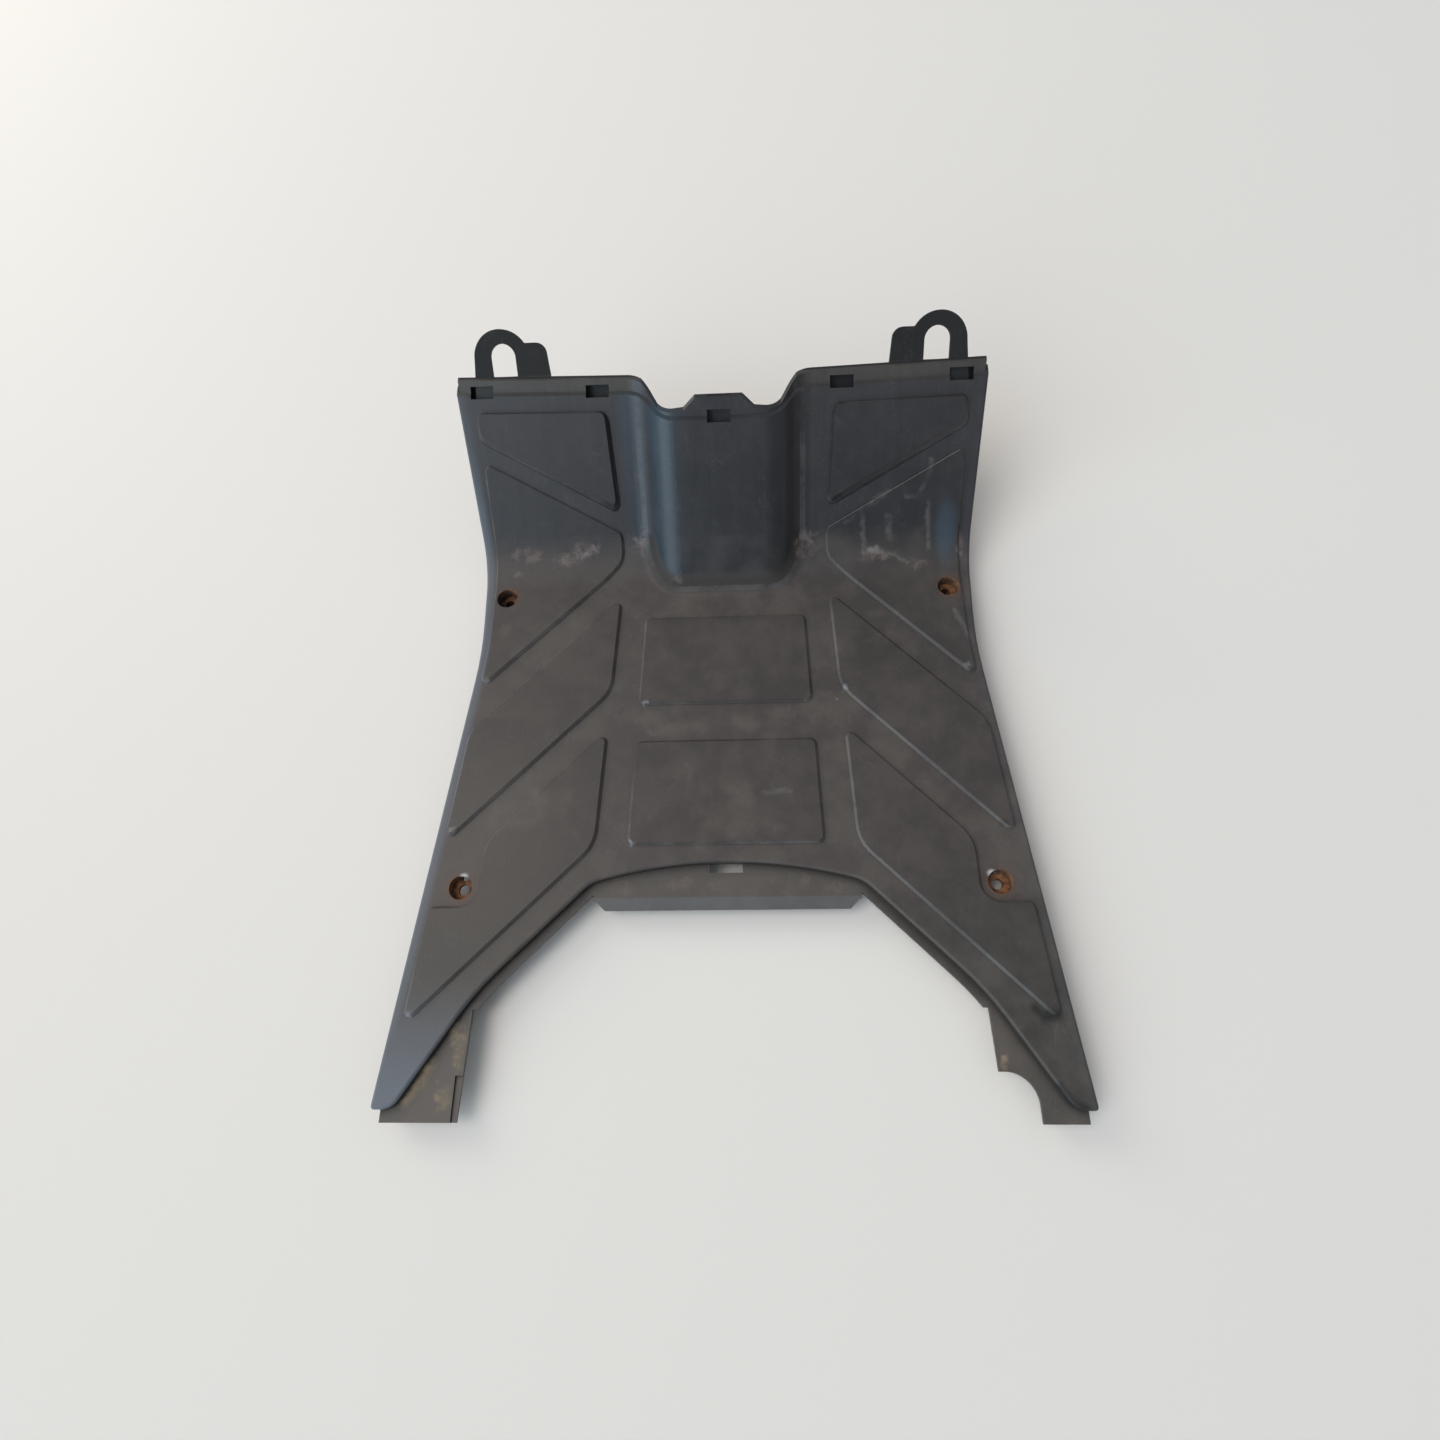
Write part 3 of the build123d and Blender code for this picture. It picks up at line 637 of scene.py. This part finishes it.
def make_screw_rust():
    """Rust left in a screw cup, with a faint stain round it."""
    inputs = [("Place", "Vector"), ("Middle", "Vector"), ("Side", "Vector"),
              ("Amount", "Float"), ("Clouds", "Float")]
    tree, given, wanted = start_group("screw_rust", inputs, ["Rust", "Stain"])
    off = lines(tree, "SUBTRACT", given["Place"], given["Middle"])
    flat = lines(tree, "MULTIPLY", off, LEVEL)
    away = lengths(tree, "LENGTH", flat)
    side = lengths(tree, "DOT_PRODUCT", lines(tree, "NORMALIZE", flat), given["Side"])
    held = sums(tree, "MULTIPLY_ADD", side, RUST_SIDE, given["Clouds"])
    held = sums(tree, "ADD", held, sums(tree, "SUBTRACT", given["Amount"], RUST_MIDDLE))
    feed(tree, wanted["Rust"], times(tree, fade(tree, away, CUP_REACH), fade(tree, held, RUST_FADE)))
    feed(tree, wanted["Stain"], times(tree, fade(tree, away, STAIN_REACH), fade(tree, held, STAIN_FADE)))


def scuffs(tree, place, clouds, patches):
    """One mask for a list of patches, each with its middle and reach."""
    masks = []
    for middle, reach in patches:
        inputs = {"Place": place, "Middle": middle, "Reach": reach, "Clouds": clouds}
        masks.append(use_group(tree, "scuff_patch", inputs)["Mask"])
    return largest(tree, *masks)


def scores(tree, place, clouds, marks):
    """One mask for a list of scratches, each with its ends and width."""
    masks = []
    for start, end, width in marks:
        inputs = {"Place": place, "From": start, "To": end, "Width": width, "Clouds": clouds}
        masks.append(use_group(tree, "scratch_mark", inputs)["Mask"])
    return largest(tree, *masks)


def measure_board(tree):
    """What is known at each point: its place in millimetres, how it faces, the board's lines, and noise.

    In millimetres, lift is the height over the moulded skin, run the way along the board from the bend,
    ragged_run the same with an uneven border, across the way from the middle, sideways the same with the left
    side negative, and to_edge the way in from the outer edge. Facing is 1 on what faces straight up, and
    off_toe is 1 on what lies flat on the toe board.
    """
    coords = add(tree, "TexCoord", {}).outputs["Object"]
    place = lines(tree, "MULTIPLY", coords, PER_METRE)
    normal = add(tree, "NewGeometry", {}).outputs["Normal"]
    board = use_group(tree, "board_lines", {"Place": place})
    film = use_group(tree, "dust_film", {"Place": place})
    broad_clouds = speckle(tree, place, BROAD_CLOUDS)
    ragged = sums(tree, "SUBTRACT", broad_clouds, CLOUD_MIDDLE)
    inputs = {"Vector": place, "Scale": WOBBLE_SCALE, "Detail": WOBBLE_DETAIL}
    wobble = add(tree, "TexNoise", inputs).outputs["Color"]
    wobble = lines(tree, "SUBTRACT", wobble, (CLOUD_MIDDLE, CLOUD_MIDDLE, CLOUD_MIDDLE))
    return {
        "place": place,
        "crooked": lines(tree, "MULTIPLY_ADD", wobble, WOBBLE_REACH, place),
        "sideways": add(tree, "SeparateXYZ", {"Vector": place}).outputs["X"],
        "facing": add(tree, "SeparateXYZ", {"Vector": normal}).outputs["Z"],
        "off_toe": lengths(tree, "DOT_PRODUCT", normal, TOE_NORMAL),
        "lift": board["Lift"],
        "run": board["Run"],
        "ragged_run": sums(tree, "MULTIPLY_ADD", ragged, RAGGED_REACH, board["Run"]),
        "across": board["Across"],
        "to_edge": board["To Edge"],
        "tone": film["Tone"],
        "dust": film["Dust"],
        "specks": film["Specks"],
        "broad_clouds": broad_clouds,
        "clouds": speckle(tree, place, MIDDLE_CLOUDS),
        "fine_clouds": speckle(tree, place, FINE_CLOUDS),
    }


def find_parts(tree, here):
    """A mask for each part of the board."""
    at = {}
    for name, limits in PARTS.items():
        at[name] = times(tree, *[fade(tree, here[line], span) for line, *span in limits])
    at["slot"] = largest(tree, at["lip_slot"], at["crest_slot"])
    at["inner_edge"] = times(tree, at["pad_inside"], at["pad_edge"])
    other_edges = sums(tree, "SUBTRACT", at["pad_edge"], at["inner_edge"])
    at["outer_edge"] = times(tree, other_edges, at["pad_outside"])
    return at


def plain_colour(tree, here, at):
    """The colour of each part of the board before dirt and wear, with its uneven tone: the toe board darker
    as painted shade, a painted bluish sheen on the bulge's flank, and painted shade darkening the right side.
    """
    floor_colour = mix(tree, at["pad"], CHANNEL_GREY, PAD_GREY)
    floor_colour = laid_over(tree, floor_colour, at["leg"], "leg", LEG_GREY)
    # The toe board darkened with painted shade
    toe_colour = mix(tree, at["pad"], TOE_CHANNEL_SHADED_GREY, TOE_SHADED_GREY)
    colour = mix(tree, at["toe"], floor_colour, toe_colour)
    # A painted bluish sheen of reflected light on the foot and the left flank of the bulge
    colour = laid_over(tree, colour, at["flank_foot"], "flank_foot", FLANK_PAINTED_SHEEN)
    colour = mix(tree, at["bulge"], colour, mix(tree, at["left_flank"], BULGE_GREY, FLANK_PAINTED_SHEEN))
    colour = mix(tree, at["below"], colour, mix(tree, at["lip"], SHELF_GREY, LIP_GREY))
    colour = mix(tree, at["ear"], colour, EAR_BLACK)
    colour = mix(tree, at["under"], colour, UNDER_GREY)

    drawn_out = {"X": here["sideways"], "Y": times(tree, here["run"], DRIP_SQUASH)}
    drips = speckle(tree, add(tree, "CombineXYZ", drawn_out).outputs["Vector"], DRIP_NOISE)
    drips = times(tree, stretch(tree, drips, DRIP_TONE), at["toe"])
    # Tone: the uneven film, the floor darker towards the bend, lighter towards the top of the toe board and
    # the lip, and painted shade darkening the right side
    tone = times(tree, stretch(tree, here["tone"], FILM_TONE), stretch(tree, here["run"], REAR_TONE),
                 stretch(tree, here["run"], FRONT_TONE), stretch(tree, at["leftward"], SIDE_SHADE))
    tone = sums(tree, "MULTIPLY_ADD", drips, DRIP_STRENGTH, tone)
    grey_tone = add(tree, "CombineXYZ", dict.fromkeys("XYZ", tone)).outputs["Vector"]
    return mix(tree, 1.0, colour, grey_tone, "MULTIPLY")


def find_dust(tree, here, at):
    """Dust lies on what faces up, more in the channels and on the floor than on the toe board."""
    on_floor = choose(tree, at["pad"], COVER["channel_dust"], COVER["pad_dust"])
    amount = choose(tree, at["toe"], on_floor, COVER["toe_dust"])
    dusty = times(tree, here["dust"], at["upward"], amount)
    return largest(tree, dusty, times(tree, here["specks"], COVER["specks"]))


def lay_dust(tree, colour, here, at, dusty):
    """The dust, pale patches on the floor, a bluish strip and stains on the tongue, and more dust on the left
    leg, which also stands in as painted light on that brighter side.
    """
    colour = mix(tree, dusty, colour, DUST_TAN)
    pale = times(tree, scuffs(tree, here["place"], here["broad_clouds"], PALE_PATCHES), at["upward"])
    colour = laid_over(tree, colour, pale, "pale_patches", DUST_TAN)
    colour = laid_over(tree, colour, at["tongue_strip"], "tongue_strip", BLOOM_AND_REFLECTION_BLUE)
    stained = times(tree, scuffs(tree, here["place"], here["clouds"], TONGUE_STAINS), at["tongue"])
    colour = laid_over(tree, colour, stained, "tongue_stains", SCUFF_PINK)
    # Dust on the left leg, partly painted light for the brighter left side
    return laid_over(tree, colour, at["left_leg"], "left_leg_dust_and_light", DUST_TAN)


def lay_grime_shade_and_edge_light(tree, colour, here, at):
    """Painted shade and grime at the foot of every raised edge, darkest on the shelves and ledges under the
    steps; painted light on the toe pads' outer edges, painted shadow at the bulge's foot, and painted black
    shade on the inner edges of the toe pads and in the slots.
    """
    inputs = {"Distance": GRIME_AND_SHADE_REACH}
    # Corners darkened by occlusion: painted shade with some grime, nearly black on the shelves and ledges
    # under the steps
    corner = add(tree, "AmbientOcclusion", inputs, samples=GRIME_AND_SHADE_SAMPLES, only_local=True).outputs["AO"]
    on_skin = choose(tree, at["toe"], COVER["floor_grime_and_shade"], COVER["toe_grime_and_shade"])
    amount = choose(tree, at["below"], on_skin, COVER["shelf_shade"])
    grimy_and_shaded = times(tree, fade(tree, corner, GRIME_AND_SHADE_FADE), amount)
    on_ledge = times(tree, at["ledge"], fade(tree, corner, LEDGE_SHADE_FADE), COVER["ledge_shade"])
    colour = mix(tree, largest(tree, grimy_and_shaded, on_ledge), colour, GRIME_AND_SHADE_BROWN)
    # Painted light lifts the shaded bevels of the toe pads' outer edges, most where they face up
    painted_edge_light = mix(tree, fade(tree, here["facing"], EDGE_FACING), TOE_EDGE_PAINTED_LIGHT, TOE_EDGE_PAINTED_HIGHLIGHT)
    colour = laid_over(tree, colour, at["outer_edge"], "outer_edge", painted_edge_light)
    # Painted shadow at the foot of the bulge
    colour = laid_over(tree, colour, at["bulge_foot"], "bulge_foot", GRIME_AND_SHADE_BROWN)
    # Painted black shade along the toe pads' inner edges, where the bulge shades them, with some grime there,
    # and in the slots
    colour = laid_over(tree, colour, at["inner_edge"], "inner_edge", PAINTED_SHADE_BLACK)
    return laid_over(tree, colour, at["slot"], "slot", PAINTED_SHADE_BLACK)


def lay_scuffs(tree, colour, here, scored):
    """Scuffs at the bend, scratches and hairlines."""
    pink = scuffs(tree, here["crooked"], here["clouds"], PINK_SCUFFS)
    colour = laid_over(tree, colour, pink, "pink_scuffs", SCUFF_PINK)
    white = scuffs(tree, here["crooked"], here["clouds"], WHITE_SCUFFS)
    colour = laid_over(tree, colour, white, "white_scuffs", SCUFF_WHITE)
    colour = laid_over(tree, colour, scored, "scratches", SCUFF_WHITE)
    hairs = []
    for turn in HAIR_TURNS:
        inputs = {"Place": here["place"], "Turn": turn, "Clouds": here["broad_clouds"]}
        hairs.append(use_group(tree, "hairlines", inputs)["Mask"])
    return laid_over(tree, colour, largest(tree, *hairs), "hairlines", SCUFF_WHITE)


def wear_and_light_edges(tree, colour, here, at):
    """Rubbed corners with a painted highlight, corners and hooks darkened with painted shade, rubbed edges, a
    painted bluish sheen, and bluish bloom with painted reflection on the rim, most on the left, and on the
    left tip.
    """
    place = here["place"]
    # Rubbed corners with a painted highlight where they face the light
    rubbed = scuffs(tree, place, here["fine_clouds"], [(spot, RUBBED_AND_LIT_REACH) for spot in RUBBED_AND_LIT_CORNERS])
    colour = laid_over(tree, colour, rubbed, "rubbed_and_lit_corners", WORN_AND_HIGHLIGHT_WHITE)
    # Corners darkened with painted shade where the step beside them shades them
    marked = scuffs(tree, place, here["clouds"], [(spot, SHADED_REACH) for spot in SHADED_CORNERS])
    colour = laid_over(tree, colour, marked, "shaded_corners", GRIME_AND_SHADE_BROWN)
    # Dark hooks of painted shadow on the right leg
    colour = laid_over(tree, colour, scores(tree, place, HOOK_FILL, DARK_HOOKS), "dark_hooks", PAINTED_SHADE_BLACK)
    edge_rub = times(tree, at["bevel"], fade(tree, here["tone"], EDGE_RUB_TONE))
    colour = laid_over(tree, colour, edge_rub, "edge_rub", WORN_AND_HIGHLIGHT_WHITE)
    # A painted bluish sheen of reflected light at the right of the bend
    colour = laid_over(tree, colour, scuffs(tree, place, SHEEN_FILL, SHEEN_PATCHES), "sheen", SHEEN_BLUE)
    # Bluish bloom with painted reflection along the rim, most on the lit left side, and on the left leg's tip
    on_rim = times(tree, at["rim"], stretch(tree, at["leftward"], RIM_SIDE),
                   stretch(tree, here["run"], RIM_FRONT))
    on_tip = times(tree, at["left_tip"], COVER["left_tip"])
    return mix(tree, times(tree, largest(tree, on_rim, on_tip), at["top_side"]), colour, BLOOM_AND_REFLECTION_BLUE)


def find_mud(tree, here, at):
    """Dried mud on the leg flanges."""
    patches = scuffs(tree, here["crooked"], here["clouds"], MUD_PATCHES)
    streaks = scores(tree, here["crooked"], here["clouds"], MUD_STREAKS)
    return times(tree, largest(tree, patches, streaks), at["upward"])


def find_rust(tree, here, at):
    """Rust in the screw cups, and the stain round them."""
    cups = []
    for spot, side, amount in SCREW_CUPS:
        inputs = {"Place": here["place"], "Middle": spot, "Side": side, "Amount": amount,
                  "Clouds": here["fine_clouds"]}
        cups.append(use_group(tree, "screw_rust", inputs))
    stain = times(tree, largest(tree, *[cup["Stain"] for cup in cups]), at["above_posts"])
    return largest(tree, *[cup["Rust"] for cup in cups]), stain


def lay_rust(tree, colour, here, rusty, stain):
    """Rust and stain, with pale spots of painted light on the rims of the cups."""
    colour = laid_over(tree, colour, stain, "stain", RUST_BROWN)
    rust_colour = mix(tree, fade(tree, here["clouds"], RUST_SHADES), RUST_BROWN, RUST_ORANGE)
    colour = laid_over(tree, colour, rusty, "rust", rust_colour)
    # Pale spots of painted light on the rims of the rear cups
    glints = scuffs(tree, here["place"], GLINT_FILL, PAINTED_GLINTS)
    return laid_over(tree, colour, glints, "glints", GLINT_WHITE)


def find_roughness(tree, here, at, dusty, marked):
    """Satin on the clean toe board and bulge, dull where dust, rust and mud lie."""
    rough = choose(tree, at["toe"], FLOOR_ROUGHNESS, TOE_ROUGHNESS)
    rough = choose(tree, at["bulge"], rough, BULGE_ROUGHNESS)
    rough = choose(tree, largest(tree, at["ear"], at["bulge_foot"]), rough, DULL_ROUGHNESS)
    rough = sums(tree, "ADD", rough, stretch(tree, here["tone"], FILM_ROUGHNESS))
    rough = sums(tree, "MULTIPLY_ADD", dusty, DUST_ROUGHNESS, rough)
    return choose(tree, marked, rough, DIRT_ROUGHNESS)


def find_relief(tree, here, scored, crust):
    """Moulded grain, scratches cut in, rust and mud standing up."""
    grain = use_group(tree, "moulded_grain", {"Place": here["place"]})["Height"]
    relief = sums(tree, "MULTIPLY_ADD", scored, SCRATCH_DEPTH, grain)
    relief = sums(tree, "MULTIPLY_ADD", crust, here["fine_clouds"], relief)
    inputs = {"Strength": BUMP_STRENGTH, "Distance": BUMP_HEIGHT, "Height": relief}
    return add(tree, "Bump", inputs).outputs["Normal"]


def worn_plastic():
    """Dark grey moulded plastic: dusty, rubbed at the bend, rusty in the cups and muddy on the legs, with
    painted shade in corners, slots and under steps, and painted highlights, sheen and reflection where the
    light falls.
    """
    paint = bpy.data.materials.new("grey_plastic")
    paint.use_nodes = True
    tree = paint.node_tree
    shader = tree.nodes["Principled BSDF"]
    make_board_lines()
    make_dust_film()
    make_moulded_grain()
    make_hairlines()
    make_scuff_patch()
    make_scratch_mark()
    make_screw_rust()
    here = measure_board(tree)
    at = find_parts(tree, here)
    dusty = find_dust(tree, here, at)
    scored = scores(tree, here["crooked"], here["clouds"], SCRATCHES)
    muddy = find_mud(tree, here, at)
    rusty, stain = find_rust(tree, here, at)

    colour = plain_colour(tree, here, at)
    colour = lay_dust(tree, colour, here, at, dusty)
    colour = lay_grime_shade_and_edge_light(tree, colour, here, at)
    colour = lay_scuffs(tree, colour, here, scored)
    colour = wear_and_light_edges(tree, colour, here, at)
    colour = laid_over(tree, colour, muddy, "mud", MUD_TAN)
    colour = lay_rust(tree, colour, here, rusty, stain)
    rough = find_roughness(tree, here, at, dusty, largest(tree, rusty, muddy))
    relief = find_relief(tree, here, scored, sums(tree, "ADD", rusty, muddy))
    feed(tree, shader.inputs["Base Color"], colour)
    feed(tree, shader.inputs["Roughness"], rough)
    feed(tree, shader.inputs["Normal"], relief)
    return paint


bpy.context.scene.view_settings.view_transform = "Standard"
place_camera()
lay_floor()
light_scene()

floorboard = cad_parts["floorboard"]
floorboard.data.materials.clear()
floorboard.data.materials.append(worn_plastic())
